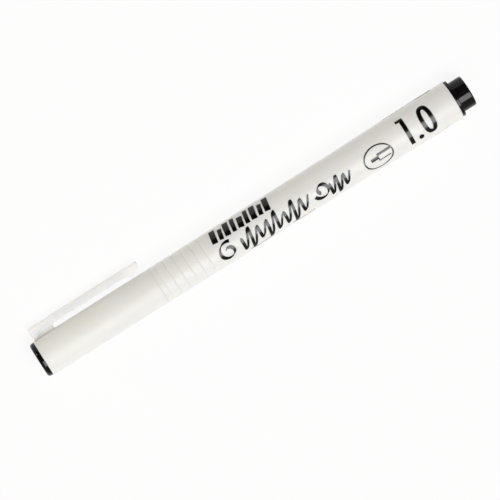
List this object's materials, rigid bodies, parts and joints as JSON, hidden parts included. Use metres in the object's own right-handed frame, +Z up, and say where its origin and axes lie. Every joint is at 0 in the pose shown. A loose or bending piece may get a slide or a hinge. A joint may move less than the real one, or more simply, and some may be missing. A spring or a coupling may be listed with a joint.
{
  "type": "calligraphy marker",
  "caption": "Slim round fibre-nib calligraphy marker: pull-off cap with a pocket clip, ring grip grooves on the barrel, and a short black post at the tail.",
  "frame": {"origin": "on the surface that the marker lies on, under the middle of its overall box", "axes": "+X along the pen from the cap's end to the tail, +Y across it towards the clip, +Z up from the surface"},
  "size_m": [0.138, 0.0142, 0.0113],
  "materials": {
    "barrel_white": "satin, off-white, slightly translucent moulding with black printing",
    "cap_white": "satin, cream-white, slightly translucent moulding",
    "black_moulding": "gloss black moulding",
    "nib_fibre": "dense bonded fibre, soaked with black ink",
    "reservoir_fibre": "bundled fibre, soaked with black ink",
    "clear_film": "thin clear film",
    "natural_seal": "natural, milky soft plastic"
  },
  "bodies": {
    "pen": {"barrel": "barrel_white", "front_section": "black_moulding", "nib": "nib_fibre", "ink_reservoir": "reservoir_fibre", "reservoir_film": "clear_film", "tail_plug": "black_moulding"},
    "cap": {"cap_shell": "cap_white", "cap_end_disc": "black_moulding", "cap_inner_seal": "natural_seal"},
    "clip": {"pocket_clip": "cap_white"}
  },
  "joints": [
    {"name": "cap_pull", "type": "slide", "parent": "pen", "child": "cap", "axis": [-1, 0, 0], "range_m": [0, 0.045]},
    {"name": "clip_bend", "type": "hinge", "parent": "cap", "child": "clip", "pos_m": [-0.0597, 0.00646, 0.00137], "axis": [0, 0.4755, 0.8797], "range_deg": [-1, 6], "stiffness_Nm_per_rad": 1}
  ]
}
